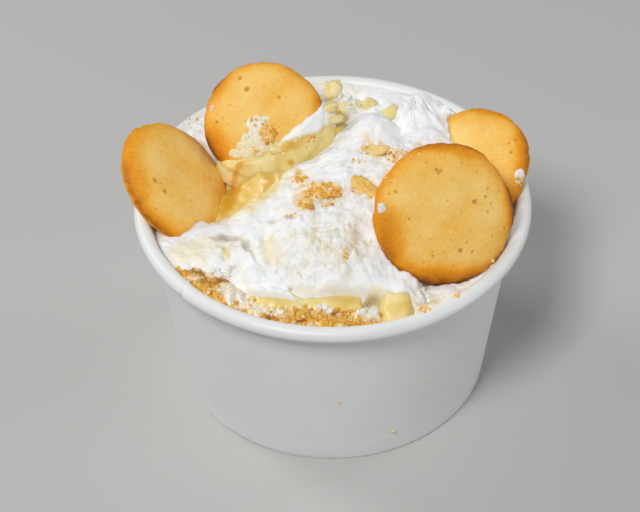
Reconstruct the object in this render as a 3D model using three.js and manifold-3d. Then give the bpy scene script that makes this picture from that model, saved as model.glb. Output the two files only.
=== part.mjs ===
// Banana pudding in a squat round paper food cup, millimetres, +Z up.
// A crumb layer, a custard layer and a whipped cream mound fill the cup, and four domed
// vanilla wafers stand half sunk in the cream. The origin is the centre of the bottom of
// the whole part's box, on the surface that the cup stands on.
import * as THREE from 'three';
import { mergeVertices } from 'three/addons/utils/BufferGeometryUtils.js';
import Module from 'manifold-3d';

const wasm = await Module();
wasm.setup();

// ---- driving dimensions ----
const GAP = 0.3; // clearance between neighbouring pieces
const ROUND_STEPS = 48; // facets round the cup

// Paper cup
const CUP_HEIGHT = 62.3;
const RIM_RADIUS = 57.5; // outside of the rolled rim
const BEAD_RADIUS = 2.2; // cross section of the rolled rim
const FOOT_RADIUS = 45.9; // outside of the wall at the bottom
const NECK_RADIUS = 52.9; // outside of the wall just under the rolled rim
const PAPER = 0.6; // thickness of the wall board
const FOLD_HEIGHT = 7.4; // wall board folded up inside the foot
const DISC_HEIGHT = 7.9; // underside of the base disc above the table
const DISC_PAPER = 0.6;
const SKIRT_FOOT = 1.0; // lower edge of the base disc's skirt above the table
const CURL_STEPS = 10; // facets round the rolled rim's section
const CURL_TURN = 300; // degrees that the board turns through in the rolled rim

// Food layers
const LAYER_ROUND_STEPS = 38;
const LAYER_RINGS = 9; // rings of facets across each layer's top
const LAYER_GAP = 0.5; // upright clearance between one layer's top and the next layer
const LAYER_FLOOR = DISC_HEIGHT + DISC_PAPER + GAP;
const BLEND = 1.2; // how softly one ridge runs into the next

// Each layer has a level, and ridges that stand on it. A ridge runs straight from one crest
// point to another, both [x, y, z] from the cup's axis at table level. Its reach is half its
// width, and the higher `steep` is, the flatter its top and the steeper its sides.
const CRUMBS = {
  level: 42.5,
  ridges: {
    leftFront: { from: [-42, -26, 57], to: [-23, -43, 57], reach: 9, steep: 4 },
    front: { from: [-22, -45, 57], to: [22, -47, 56], reach: 8.5, steep: 4 },
  },
};
const CUSTARD = {
  level: 51,
  ridges: {
    middle: { from: [2, -28, 57.5], to: [8, 18, 57], reach: 27, steep: 4 },
    stream: { from: [4, 42, 60.4], to: [-15, 20, 58.4], reach: 14, steep: 4 },
    streamEnd: { from: [-13, 20, 60.5], to: [-28, 3, 56], reach: 9, steep: 3 },
    backLap: { from: [0, 28, 66.5], to: [-18, 12, 62], reach: 8, steep: 3 },
    frontLedge: { from: [-19, -36.5, 57.8], to: [12, -40, 58.3], reach: 7, steep: 5 },
    frontBlock: { from: [17.5, -40, 60.6], to: [17.5, -48, 59.6], reach: 5.5, steep: 5 },
  },
};
const CREAM = {
  level: 49.5,
  ridges: {
    mound: { from: [20, 20, 70], to: [2, -17, 69], reach: 25, steep: 4 },
    leftFlank: { from: [-4, 8, 64], to: [-20, -8, 62], reach: 13, steep: 4 },
    frontLip: { from: [-20, -29, 60.5], to: [17, -34, 62.5], reach: 8.5, steep: 4 },
    peak: { from: [19, 33, 70], to: [29, 29, 71], reach: 13, steep: 3 },
    behindWafer: { from: [22, -8, 69], to: [37, -13, 66], reach: 12, steep: 3 },
    rightShelf: { from: [46, 14, 57], to: [45, -25, 57.8], reach: 12, steep: 4 },
    frontRight: { from: [45, -25, 57.8], to: [25, -41, 57.0], reach: 8, steep: 4 },
    leftFront: { from: [-14, -17, 61.5], to: [-45, -15, 58.4], reach: 14, steep: 4 },
    leftBack: { from: [-45, 21, 62.6], to: [-28, 42, 63.4], reach: 10, steep: 4 },
    backRunLeft: { from: [-26, 47, 61.4], to: [4, 52, 61.2], reach: 6, steep: 4 },
    backRunRight: { from: [4, 52, 61.2], to: [36, 40, 61], reach: 7, steep: 4 },
    rightBack: { from: [36, 40, 61], to: [47, 22, 60], reach: 9, steep: 4 },
  },
};

// Vanilla wafers
const WAFER_THICKNESS = 7.0;
const WAFER_BELLY = 2.2; // widest ring above the flat underside
const WAFER_HEEL = 2.0; // how much narrower the flat underside is
const WAFER_CHAMFER_RADIUS = 0.6;
const WAFER_CHAMFER_HEIGHT = 0.9;
const WAFER_DOME_STEPS = 4;
const WAFER_DOME_POWER = 0.62; // flatness of the dome's section
const WAFER_ROUND_STEPS = 28;
const WAFERS = [
  { name: 'wafer_left', radius: 20.0, centre: [-45.2, 6.3, 61.6], face: [0.682, -0.151, 0.715] },
  { name: 'wafer_back', radius: 17.9, centre: [-19.9, 26.3, 68.6], face: [-0.068, -0.608, 0.791] },
  { name: 'wafer_front', radius: 20.2, centre: [30.7, -19.6, 71.7], face: [0.193, -0.795, 0.575] },
  { name: 'wafer_right', radius: 19.9, centre: [39.5, 12.2, 60.7], face: [-0.491, -0.325, 0.808] },
];

const PAPER_LOOK = { color: '#e4e6e4', roughness: 0.6, metalness: 0 };
const CRUMB_LOOK = { color: '#c08a35', roughness: 0.75, metalness: 0 };
const CUSTARD_LOOK = { color: '#e8cf83', roughness: 0.35, metalness: 0 };
const CREAM_LOOK = { color: '#f7f5ee', roughness: 0.5, metalness: 0 };
const WAFER_LOOK = { color: '#dd9d45', roughness: 0.7, metalness: 0 };

// ---- shared steps ----

// Closed mesh turned about +Z from a profile of [radius, height] points.
function turned(profile, steps) {
  const points = profile.map(([radius, height]) => new THREE.Vector2(radius, height));
  const geometry = new THREE.LatheGeometry(points, steps);
  geometry.rotateX(Math.PI / 2);
  return geometry;
}

// Manifold solid of a closed geometry, whichever way its faces were wound.
function solidOf(geometry) {
  const bare = geometry.clone();
  bare.deleteAttribute('normal');
  bare.deleteAttribute('uv');
  const merged = mergeVertices(bare);
  const positions = merged.attributes.position.array;
  const index = Array.from(merged.index.array);
  const triangles = [];
  let volume = 0;
  for (let at = 0; at < index.length; at += 3) {
    const [a, b, c] = index.slice(at, at + 3);
    if (a === b || b === c || c === a) continue;
    triangles.push([a, b, c]);
    const [va, vb, vc] = [a, b, c].map((v) => new THREE.Vector3().fromArray(positions, v * 3));
    volume += va.dot(vb.cross(vc));
  }
  const outward = volume > 0 ? triangles : triangles.map(([a, b, c]) => [a, c, b]);
  return new wasm.Manifold(new wasm.Mesh({
    numProp: 3,
    vertProperties: new Float32Array(positions),
    triVerts: new Uint32Array(outward.flat()),
  }));
}

// The largest connected body of a solid: specks that a cut leaves behind are dropped.
function mainBody(solid) {
  return solid.decompose().reduce((best, piece) => (piece.volume() > best.volume() ? piece : best));
}

// Named mesh of a manifold solid, flat shaded.
function meshOf(name, solid, look) {
  const { vertProperties, triVerts, numProp } = solid.getMesh();
  const geometry = new THREE.BufferGeometry();
  const positions = new Float32Array((vertProperties.length / numProp) * 3);
  for (let v = 0; v < vertProperties.length / numProp; v += 1) {
    positions.set(vertProperties.subarray(v * numProp, v * numProp + 3), v * 3);
  }
  geometry.setAttribute('position', new THREE.BufferAttribute(positions, 3));
  geometry.setIndex(new THREE.BufferAttribute(new Uint32Array(triVerts), 1));
  geometry.computeVertexNormals();
  const mesh = new THREE.Mesh(geometry, new THREE.MeshStandardMaterial(look));
  mesh.name = name;
  return mesh;
}

// Outer radius of the cup's wall at a height.
function wallRadius(height) {
  const rise = Math.min(height / (CUP_HEIGHT - 2 * BEAD_RADIUS), 1);
  return THREE.MathUtils.lerp(FOOT_RADIUS, NECK_RADIUS, rise);
}

// ---- paper cup: wall with its rolled rim and folded foot, and the recessed base disc ----

// Arc of the rolled rim's section, from the cup's inside over the top and back under.
function curl(radius) {
  return Array.from({ length: CURL_STEPS + 1 }, (_, step) => {
    const angle = THREE.MathUtils.degToRad(180 - (CURL_TURN * step) / CURL_STEPS);
    return [
      RIM_RADIUS - BEAD_RADIUS + radius * Math.cos(angle),
      CUP_HEIGHT - BEAD_RADIUS + radius * Math.sin(angle),
    ];
  });
}

// Three boards stand side by side in the foot: the wall, the disc's skirt and the wall's fold.
const skirtOuter = (height) => wallRadius(height) - PAPER - GAP;
const skirtInner = (height) => skirtOuter(height) - DISC_PAPER;
const foldOuter = (height) => skirtInner(height) - GAP;
const foldInner = (height) => foldOuter(height) - PAPER;

const sidewall = solidOf(turned([
  [FOOT_RADIUS, 0],
  [NECK_RADIUS, CUP_HEIGHT - 2 * BEAD_RADIUS],
  ...curl(BEAD_RADIUS - PAPER),
  ...curl(BEAD_RADIUS).reverse(),
  [NECK_RADIUS - PAPER, CUP_HEIGHT - 2 * BEAD_RADIUS],
  [wallRadius(PAPER) - PAPER, PAPER],
  [foldOuter(PAPER), PAPER],
  [foldOuter(FOLD_HEIGHT), FOLD_HEIGHT],
  [foldInner(FOLD_HEIGHT), FOLD_HEIGHT],
  [foldInner(0), 0],
  [FOOT_RADIUS, 0],
], ROUND_STEPS));

const baseDisc = solidOf(turned([
  [0, DISC_HEIGHT],
  [skirtInner(DISC_HEIGHT), DISC_HEIGHT],
  [skirtInner(SKIRT_FOOT), SKIRT_FOOT],
  [skirtOuter(SKIRT_FOOT), SKIRT_FOOT],
  [skirtOuter(DISC_HEIGHT + DISC_PAPER), DISC_HEIGHT + DISC_PAPER],
  [0, DISC_HEIGHT + DISC_PAPER],
], ROUND_STEPS));

// ---- wafers: flat underside, rounded heel, domed top, tilted to face along `face` ----

function waferSolid({ radius, centre, face }, grow) {
  const belly = radius + grow;
  const dome = WAFER_THICKNESS - WAFER_BELLY + grow;
  const profile = [
    [0, -WAFER_BELLY - grow],
    [belly - WAFER_HEEL, -WAFER_BELLY - grow],
    [belly - WAFER_CHAMFER_RADIUS, WAFER_CHAMFER_HEIGHT - WAFER_BELLY - grow],
  ];
  for (let step = 0; step <= WAFER_DOME_STEPS; step += 1) {
    const angle = (Math.PI / 2) * (step / WAFER_DOME_STEPS);
    const across = step === WAFER_DOME_STEPS ? 0 : Math.cos(angle) ** WAFER_DOME_POWER;
    profile.push([belly * across, dome * Math.sin(angle)]);
  }
  const geometry = turned(profile, WAFER_ROUND_STEPS);
  const up = new THREE.Vector3(0, 0, 1);
  const turn = new THREE.Quaternion().setFromUnitVectors(up, new THREE.Vector3(...face).normalize());
  geometry.applyQuaternion(turn);
  geometry.translate(...centre);
  return solidOf(geometry);
}

const wafers = WAFERS.map((wafer) => ({ name: wafer.name, solid: waferSolid(wafer, 0) }));
const waferRoom = WAFERS.map((wafer) => waferSolid(wafer, GAP)).reduce((all, one) => all.add(one));

// ---- food layers: each fills the cup up to its level with its ridges on it ----

// Height of one ridge at (x, y): its crest, falling off as a bell with the distance to it.
function ridgeHeight({ from, to, reach, steep }, level, x, y) {
  const crest = new THREE.Vector2(to[0] - from[0], to[1] - from[1]);
  const offset = new THREE.Vector2(x - from[0], y - from[1]);
  const along = THREE.MathUtils.clamp(offset.dot(crest) / crest.lengthSq(), 0, 1);
  const distance = offset.addScaledVector(crest, -along).length() / reach;
  const top = THREE.MathUtils.lerp(from[2], to[2], along);
  return level + (top - level) * Math.exp(-(distance ** steep));
}

// Height of a layer's top at (x, y): the highest of its ridges, blended where two are as high.
function surfaceHeight({ level, ridges }, x, y) {
  const heights = Object.values(ridges).map((ridge) => ridgeHeight(ridge, level, x, y));
  const highest = Math.max(...heights);
  const shares = heights.reduce((sum, height) => sum + Math.exp((height - highest) / BLEND), 0);
  return highest + BLEND * Math.log(shares);
}

// Solid from the base disc up to a layer's top, inside the cup's wall. With `grow` it is the
// room that the next layer keeps clear: raised by that much and wider by one more ring.
function filledTo(layer, grow) {
  const foodRadius = (height) => wallRadius(height) - PAPER - GAP;
  const rings = Array.from({ length: LAYER_RINGS }, (_, ring) => 1 - ring / LAYER_RINGS);
  const profile = [
    [0, LAYER_FLOOR - grow],
    [foodRadius(LAYER_FLOOR) + grow, LAYER_FLOOR - grow],
    ...(grow > 0 ? [[foodRadius(CUP_HEIGHT) + grow, CUP_HEIGHT]] : []),
    ...rings.map((share) => [foodRadius(CUP_HEIGHT) * share, CUP_HEIGHT]),
    [0, CUP_HEIGHT],
  ];
  const geometry = turned(profile, LAYER_ROUND_STEPS);
  const position = geometry.attributes.position;
  for (let at = 0; at < position.count; at += 1) {
    const flatX = position.getX(at);
    const flatY = position.getY(at);
    if (position.getZ(at) > CUP_HEIGHT - GAP) {
      const height = surfaceHeight(layer, flatX, flatY);
      const squeeze = foodRadius(height) / foodRadius(CUP_HEIGHT);
      position.setXYZ(at, flatX * squeeze, flatY * squeeze, height + grow);
    }
  }
  return solidOf(geometry);
}

const crumbRoom = filledTo(CRUMBS, LAYER_GAP);
const custardRoom = filledTo(CUSTARD, LAYER_GAP);
const crumbLayer = mainBody(filledTo(CRUMBS, 0).subtract(waferRoom));
const custardLayer = mainBody(filledTo(CUSTARD, 0).subtract(crumbRoom).subtract(waferRoom));
const creamLayer = mainBody(
  filledTo(CREAM, 0).subtract(custardRoom).subtract(crumbRoom).subtract(waferRoom),
);

// ---- the whole pudding ----

const pudding = new THREE.Group();
pudding.add(
  meshOf('cup_sidewall', sidewall, PAPER_LOOK),
  meshOf('cup_base_disc', baseDisc, PAPER_LOOK),
  meshOf('crumb_layer', crumbLayer, CRUMB_LOOK),
  meshOf('custard', custardLayer, CUSTARD_LOOK),
  meshOf('whipped_cream', creamLayer, CREAM_LOOK),
  ...wafers.map(({ name, solid }) => meshOf(name, solid, WAFER_LOOK)),
);

// The left wafer overhangs the rim, so the box's middle is a little off the cup's axis.
const middle = new THREE.Box3().setFromObject(pudding).getCenter(new THREE.Vector3());
pudding.position.set(-middle.x, -middle.y, 0);

const group = new THREE.Group();
group.add(pudding);

export default group;
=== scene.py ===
"""Banana pudding in a squat paper cup: layers of wafer crumb, custard and whipped cream, with
four vanilla wafers standing in the top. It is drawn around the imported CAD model."""
import math

import bpy
import numpy as np
from mathutils import Matrix, Vector


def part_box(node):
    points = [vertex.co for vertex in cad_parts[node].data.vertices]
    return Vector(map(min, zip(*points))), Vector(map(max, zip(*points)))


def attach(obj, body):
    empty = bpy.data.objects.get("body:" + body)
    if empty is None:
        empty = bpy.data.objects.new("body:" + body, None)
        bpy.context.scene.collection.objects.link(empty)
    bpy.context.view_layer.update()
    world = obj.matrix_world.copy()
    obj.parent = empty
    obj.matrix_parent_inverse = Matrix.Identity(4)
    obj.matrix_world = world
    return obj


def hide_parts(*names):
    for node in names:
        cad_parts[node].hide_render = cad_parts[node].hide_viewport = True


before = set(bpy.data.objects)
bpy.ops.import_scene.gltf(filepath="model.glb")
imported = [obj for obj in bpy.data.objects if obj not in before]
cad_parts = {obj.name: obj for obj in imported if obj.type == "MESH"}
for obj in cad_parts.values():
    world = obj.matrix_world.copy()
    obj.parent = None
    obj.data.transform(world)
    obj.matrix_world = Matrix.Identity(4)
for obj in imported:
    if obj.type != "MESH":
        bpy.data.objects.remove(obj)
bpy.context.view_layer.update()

# ---- the view ----
# The photograph looks down on the cup from in front at about 42 degrees, through a long lens
# from a little over half a metre. The cup's own axis is the middle of its wall's box, and all
# places on the cup are given in millimetres from that axis, at the height of the table.
MM = 0.001
wall_low, wall_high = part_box("cup_sidewall")
AXIS = Vector(((wall_low[0] + wall_high[0]) / 2, (wall_low[1] + wall_high[1]) / 2, 0))

VIEW_ELEVATION = math.radians(42.553)
VIEW_ROLL = math.radians(-0.554)
VIEW_DISTANCE = 649.5  # millimetres
VIEW_TARGET = Vector((-3.755, 0, 38.53))
FOCAL_LENGTH = 123.75  # millimetres
SENSOR_WIDTH = 36
PHOTO_WIDTH, PHOTO_HEIGHT = 640, 512
FOCAL_PIXELS = PHOTO_WIDTH * FOCAL_LENGTH / SENSOR_WIDTH

view_back = Vector((0, -math.cos(VIEW_ELEVATION), math.sin(VIEW_ELEVATION)))
level_right = Vector((1, 0, 0))
level_up = view_back.cross(level_right)
view_right = math.cos(VIEW_ROLL) * level_right + math.sin(VIEW_ROLL) * level_up
view_up = math.cos(VIEW_ROLL) * level_up - math.sin(VIEW_ROLL) * level_right
view_place = VIEW_TARGET + view_back * VIEW_DISTANCE

camera = bpy.data.objects.new("camera", bpy.data.cameras.new("camera"))
camera.data.sensor_width = SENSOR_WIDTH
camera.data.lens = FOCAL_LENGTH
turned_axes = Matrix((view_right, view_up, view_back)).transposed().to_4x4()
camera.matrix_world = Matrix.Translation(AXIS + view_place * MM) @ turned_axes
bpy.context.collection.objects.link(camera)
bpy.context.scene.camera = camera


def in_photo(x, y, z):
    """Column and row of the photograph at which a place shows, and its distance from the eye:
    the place's offset along the view's right and up, over its depth, times the focal length."""
    across, rise, depth = (
        (x - view_place.x) * axis.x + (y - view_place.y) * axis.y + (z - view_place.z) * axis.z
        for axis in (view_right, view_up, -view_back)
    )
    column, row = FOCAL_PIXELS * across / depth, FOCAL_PIXELS * rise / depth
    return PHOTO_WIDTH / 2 + column, PHOTO_HEIGHT / 2 - row, depth


# ---- studio ----
# A plain matt floor under soft boxes. The two large ones stand behind the cup, left and right,
# so that the rim and the tops of the wafers are bright and the wall in front is in soft shade.
def linear(hex_code):
    """Linear red, green, blue and alpha of an sRGB hex code: the sRGB curve undone."""
    channels = [int(hex_code[at:at + 2], 16) / 255 for at in (1, 3, 5)]
    return [c / 12.92 if c <= 0.04045 else ((c + 0.055) / 1.055) ** 2.4 for c in channels] + [1.0]


def add_node(tree, kind, inputs=None, output=0, **settings):
    """Adds a shader node with its settings. Each input, by name or number, gets a value, a link
    or a hex code's colour. Gives back the output asked for."""
    node = tree.nodes.new("ShaderNode" + kind)
    for name, value in settings.items():
        setattr(node, name, value)
    for key, value in (inputs or {}).items():
        if isinstance(value, bpy.types.NodeSocket):
            tree.links.new(value, node.inputs[key])
        else:
            node.inputs[key].default_value = linear(value) if isinstance(value, str) else value
    return node.outputs[output] if node.outputs else None


def new_material(name):
    """A material with an empty node tree, and that tree."""
    material = bpy.data.materials.new(name)
    material.use_nodes = True
    material.node_tree.nodes.clear()
    return material, material.node_tree


# Matt painted board: it throws some soft light back on the cup's wall.
floor_paint, tree = new_material("matt_floor_paint")
matt = add_node(tree, "BsdfPrincipled", {"Base Color": "#bfbebc", "Roughness": 0.9})
add_node(tree, "OutputMaterial", {"Surface": matt})

FLOOR_HALF = 1.5  # metres
floor_mesh = bpy.data.meshes.new("floor")
corners = [(FLOOR_HALF * x, FLOOR_HALF * y, 0) for x, y in ((-1, -1), (1, -1), (1, 1), (-1, 1))]
floor_mesh.from_pydata(corners, [], [(0, 1, 2, 3)])
floor_mesh.materials.append(floor_paint)
floor = bpy.data.objects.new("floor", floor_mesh)
bpy.context.collection.objects.link(floor)

SOFT_BOXES = {
    # place and side in metres, watts
    "key": ((-0.30, -0.62, 1.02), 0.30, 8.7),
    "back_left": ((-0.80, 0.50, 0.65), 0.4, 4.0),
    "back_right": ((0.80, 0.45, 0.55), 0.4, 1.6),
    "right_side": ((1.0, -0.35, 0.35), 0.5, 1.6),
}
LIT_PLACE = Vector((0, 0, 0.05))  # the boxes face the middle of the food, in metres
for name, (place, side, watts) in SOFT_BOXES.items():
    light = bpy.data.lights.new(name, "AREA")
    light.size = side
    light.energy = watts
    holder = bpy.data.objects.new(name, light)
    holder.location = place
    holder.rotation_euler = (LIT_PLACE - Vector(place)).to_track_quat("-Z", "Y").to_euler()
    bpy.context.collection.objects.link(holder)

ROOM_LIGHT = {"Color": (0.97, 0.98, 1.0, 1.0), "Strength": 0.15}
room = bpy.data.worlds.new("room")
room.use_nodes = True
for key, value in ROOM_LIGHT.items():
    room.node_tree.nodes["Background"].inputs[key].default_value = value
bpy.context.scene.world = room
bpy.context.scene.view_settings.view_transform = "Standard"

# ---- paper cup ----
# A stock food cup of white coated board: one wrapped sheet glued down a side seam, curled over
# into a rolled rim, and folded in at the foot round the skirt of a recessed base disc.
CUP_HEIGHT = 62.3
RIM_RADIUS = 57.5
BEAD_RADIUS = 2.2
NECK_HEIGHT = CUP_HEIGHT - 2 * BEAD_RADIUS
NECK_RADIUS = 52.9
FOOT_RADIUS = 45.9
BOARD = 0.6
FOLD_HEIGHT = 7.4
FOLD_INSET = 1.8  # the fold stands this far inside the wall, behind the disc's skirt
SEAM_TURN = math.radians(222.6)  # the seam faces the front left
SEAM_STEP, SEAM_REACH = 0.22, 0.35  # how far the lapped edge stands out, and over what turn
CREASE_HEIGHT = 8.4  # the line that the base disc's edge presses into the wall
CREASE_DEPTH, CREASE_WIDTH = 0.14, 0.5
NOTCH_DEPTH, NOTCH_TURN = 0.5, 0.007  # where the lapped edges end in the rolled rim
ROUND_STEPS = 720
FULL_TURN = 2 * math.pi
PRIMES = (374761393, 668265263, 97471187, 1274126177)  # they scatter the noise's slopes
NOISE_GAIN = 1.6  # it brings the noise to about -1 to 1


def noise(x, y, size, seed):
    """Smooth noise of about -1 to 1. At each corner of a square lattice `size` apart stands a
    random slope; a point takes the heights of the four slopes round it, blended by the curve
    6t^5 - 15t^4 + 10t^3. The slopes come from hashing the corner's numbers and the seed."""
    u, v = x / size, y / size
    i, j = np.floor(u).astype(np.int64), np.floor(v).astype(np.int64)
    u, v = u - i, v - j
    blend_u, blend_v = (t * t * t * (t * (t * 6 - 15) + 10) for t in (u, v))
    total = np.zeros(np.broadcast(u, v).shape)
    for di in (0, 1):
        for dj in (0, 1):
            key = (i + di) * PRIMES[0] + (j + dj) * PRIMES[1] + seed * PRIMES[2]
            key = ((key ^ (key >> 13)) * PRIMES[3]) & 0x7FFFFFFFFFFF
            turn = ((key ^ (key >> 16)) & 0xFFFF) / 0xFFFF * FULL_TURN
            slope = np.cos(turn) * (u - di) + np.sin(turn) * (v - dj)
            total += slope * (blend_u if di else 1 - blend_u) * (blend_v if dj else 1 - blend_v)
    return total * NOISE_GAIN


def bumps(x, y, seed, *waves):
    """Sum of noises, each given by its height and its size, with seeds that count up."""
    return sum(height * noise(x, y, size, seed + at) for at, (height, size) in enumerate(waves))


def grid_faces(rows, columns, close_rows=False, close_columns=False):
    """Quads between neighbouring points of a grid, wrapping round where a direction is closed."""
    r, c = np.indices((rows - 1 + close_rows, columns - 1 + close_columns))
    r_next, c_next = (r + 1) % rows, (c + 1) % columns
    quads = [r * columns + c, r * columns + c_next, r_next * columns + c_next, r_next * columns + c]
    return np.stack(quads, axis=-1).reshape(-1, 4)


def make_piece(name, points, face_arrays, material, tints=None, flat_from=None):
    """A piece at the origin with its points, given in millimetres from the cup's axis, in its
    mesh. The faces are turned outward: their volume, summed from the axis, comes out positive.
    `tints` are values per point that the material reads, and faces from `flat_from` are flat."""
    points = np.asarray(points, dtype=float).reshape(-1, 3)
    volume = 0
    for faces in face_arrays:
        for step in range(1, faces.shape[1] - 1):
            a, b, c = (points[faces[:, corner]] for corner in (0, step, step + 1))
            volume += np.einsum("ij,ij->", a, np.cross(b, c))
    outward = [face for faces in face_arrays for face in (faces if volume > 0 else faces[:, ::-1]).tolist()]
    mesh = bpy.data.meshes.new(name)
    mesh.from_pydata((points * MM + np.array(AXIS)).tolist(), [], outward)
    smooth = np.ones(len(mesh.polygons), dtype=bool)
    if flat_from is not None:
        smooth[flat_from:] = False
    mesh.polygons.foreach_set("use_smooth", smooth)
    for tint, values in (tints or {}).items():
        filled = np.zeros(len(points), dtype=np.float32)
        filled[:values.size] = values.reshape(-1)
        mesh.attributes.new(tint, "FLOAT", "POINT").data.foreach_set("value", filled)
    mesh.materials.append(material)
    piece = bpy.data.objects.new(name, mesh)
    bpy.context.collection.objects.link(piece)
    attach(piece, "root")
    return piece


def wall_radius(height):
    """Outer radius of the wall: straight from the foot to the neck, then level."""
    return FOOT_RADIUS + (NECK_RADIUS - FOOT_RADIUS) * np.clip(height / NECK_HEIGHT, 0, 1)


def cup_section():
    """Closed section of the sheet as [radius, height]: up the outside, round the curl on its
    inner face and back on its outer face, down the inside, and round the fold at the foot."""
    rise = np.array([0.0, 0.25, 0.6, *np.linspace(1.2, NECK_HEIGHT - 0.3, 46)])
    rounding = 0.25 * np.clip(1 - rise / 0.6, 0, 1)
    outside = np.stack([wall_radius(rise) - rounding, rise], axis=1)
    turn = np.radians(np.linspace(180, -120, 28))
    centre = np.array([RIM_RADIUS - BEAD_RADIUS, CUP_HEIGHT - BEAD_RADIUS])
    circle = np.stack([np.cos(turn), np.sin(turn)], axis=1)
    curl = [centre + (BEAD_RADIUS - BOARD) * circle, (centre + BEAD_RADIUS * circle)[::-1]]
    inside = np.linspace([NECK_RADIUS - BOARD, NECK_HEIGHT], [wall_radius(BOARD) - BOARD, BOARD], 20)
    fold = [(BOARD, 0), (FOLD_HEIGHT, 0), (FOLD_HEIGHT, BOARD), (0.0, BOARD)]
    fold = [[wall_radius(height) - FOLD_INSET - board, height] for height, board in fold]
    return np.vstack([outside, *curl, inside, fold])


section = cup_section()
turns = np.linspace(0, FULL_TURN, ROUND_STEPS, endpoint=False)
turn, radius = np.meshgrid(turns, section[:, 0], indexing="ij")
height = np.broadcast_to(section[:, 1], radius.shape)
# Past the seam the wall lies under its own lapped edge, and it comes back out within an inch.
outer_face = radius > wall_radius(height) - BOARD / 2
lap = SEAM_STEP * np.exp(-((turn - SEAM_TURN) % FULL_TURN) / SEAM_REACH) * outer_face
crease = CREASE_DEPTH * np.exp(-((height - CREASE_HEIGHT) / CREASE_WIDTH) ** 2) * outer_face
# The waves fade in away from the turn's start, so that they meet themselves there.
meets = np.clip(np.minimum(turn, FULL_TURN - turn) / 0.4, 0, 1)
waves = bumps(turn * FOOT_RADIUS, height, 3, (0.09, 23), (0.025, 6)) * meets * (height > 1)
on_bead = np.clip((height - NECK_HEIGHT) / 0.5, 0, 1) * (radius > RIM_RADIUS - BEAD_RADIUS)
notch = NOTCH_DEPTH * np.exp(-((turn - SEAM_TURN) / NOTCH_TURN) ** 2) * on_bead
radius = radius - SEAM_STEP + lap - crease - notch + waves
cup_points = np.stack([radius * np.cos(turn), radius * np.sin(turn), height], axis=-1)

# Clay-coated white board: smooth and satin, with the fibre just showing and a faint mottle.
MOTTLE, FIBRE = 9.0, 0.5  # millimetres
SOFT_NOISE = {"Detail": 3, "Roughness": 0.55}
paper, tree = new_material("coated_white_paperboard")
place = add_node(tree, "TexCoord", output="Object")
mottle, fibre = (
    add_node(tree, "TexNoise", {"Vector": place, "Scale": 1 / (size * MM), **SOFT_NOISE})
    for size in (MOTTLE, FIBRE)
)
coated = add_node(tree, "BsdfPrincipled", {
    "Base Color": add_node(tree, "Mix", {0: mottle, 6: "#eff1ef", 7: "#e6e9e8"}, 2, data_type="RGBA"),
    "Roughness": 0.42,
    "Normal": add_node(tree, "Bump", {"Height": fibre, "Strength": 0.15, "Distance": 0.00008}),
})
add_node(tree, "OutputMaterial", {"Surface": coated})

cup_faces = grid_faces(ROUND_STEPS, len(section), True, True)
cup = make_piece("cup_paper_wall", cup_points, [cup_faces], paper)
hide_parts("cup_sidewall")

# The base disc keeps its CAD shape and takes the same board.
disc_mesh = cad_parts["cup_base_disc"].data
disc_mesh.materials.clear()
disc_mesh.materials.append(paper)

# ---- crumb layer ----
# Wafer crumbs soaked in custard fill the cup from the bottom. They only come to light at the
# front, in the crescent between the custard and the rim, where they are packed against the wall.
# A layer's ridges run from one crest point to another: their reach is half their width, and a
# steeper one has a flatter top. They stand on the layer's level, as in the CAD.
CRUMB_LEVEL = 42.5
CRUMB_RIDGES = {
    "left_front": ((-42, -26, 57), (-23, -43, 57), 9, 4),
    "front": ((-22, -45, 57), (22, -47, 56), 8.5, 4),
}
CRUMB_FLOOR = 8.8
RIDGE_BLEND = 1.2
FOOD_GAP = 0.3  # between the food and the wall
CURL_START = 58  # above this height the wall gives way to the curl
# Where cream is worked into the crumb, as patches on the photograph: middle, reach, turn, strength.
CREAMED = {
    "left": ((246, 302), (32, 10), 24, 1.6),
    "middle": ((320, 308), (8, 5), 0, 1.0),
    "right": ((374, 312), (12, 7), 0, 1.2),
    "far_left": ((208, 272), (16, 6), 30, 0.6),
}
# Darker crumb: wet crumb under the cream on the left, darkened further with painted shade, and painted shade
# in the hollow beside the custard's block.
CRUMB_WET_AND_PAINTED_SHADE = {
    "hollow": ((372, 301), (10, 8), -30, 0.8),
    "left": ((199, 276), (20, 7), 35, 0.8),
    "left_low": ((208, 288), (8, 4), 35, 0.4),
}


def heaped(x, y, level, ridges):
    """Height of a layer's top: the highest of its ridges, blended where two are as high. A
    ridge is level + (top - level) * exp(-(distance to its crest / reach) ^ steep)."""
    heights = []
    for (x0, y0, z0), (x1, y1, z1), reach, steep in ridges.values():
        run_x, run_y = x1 - x0, y1 - y0
        share = np.clip(((x - x0) * run_x + (y - y0) * run_y) / (run_x ** 2 + run_y ** 2), 0, 1)
        distance = np.hypot(x - x0 - share * run_x, y - y0 - share * run_y) / reach
        heights.append(level + (z0 + (z1 - z0) * share - level) * np.exp(-distance ** steep))
    heights = np.stack(heights)
    highest = heights.max(axis=0)
    return highest + RIDGE_BLEND * np.log(np.exp((heights - highest) / RIDGE_BLEND).sum(axis=0))


def food_radius(height):
    """Radius to which the food fills the cup: up to the wall, and above the neck up to the curl."""
    return wall_radius(height) - BOARD - FOOD_GAP + 0.9 * np.clip((height - CURL_START) / 3, 0, 1)


def disc_grid(steps):
    """x and y of a square grid pressed round into the cup's mouth: each square ring of the grid
    becomes a circle, and a point's share along its side becomes its share of that quarter."""
    s, t = np.meshgrid(np.linspace(-1, 1, steps), np.linspace(-1, 1, steps), indexing="ij")
    wide = np.abs(s) >= np.abs(t)
    ring = np.where(wide, s, t)
    turn = np.where(wide, t, s) / np.where(ring == 0, 1, ring) * math.pi / 4
    x = ring * np.where(wide, np.cos(turn), np.sin(turn))
    y = ring * np.where(wide, np.sin(turn), np.cos(turn))
    return x * food_radius(CUP_HEIGHT), y * food_radius(CUP_HEIGHT)


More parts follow.
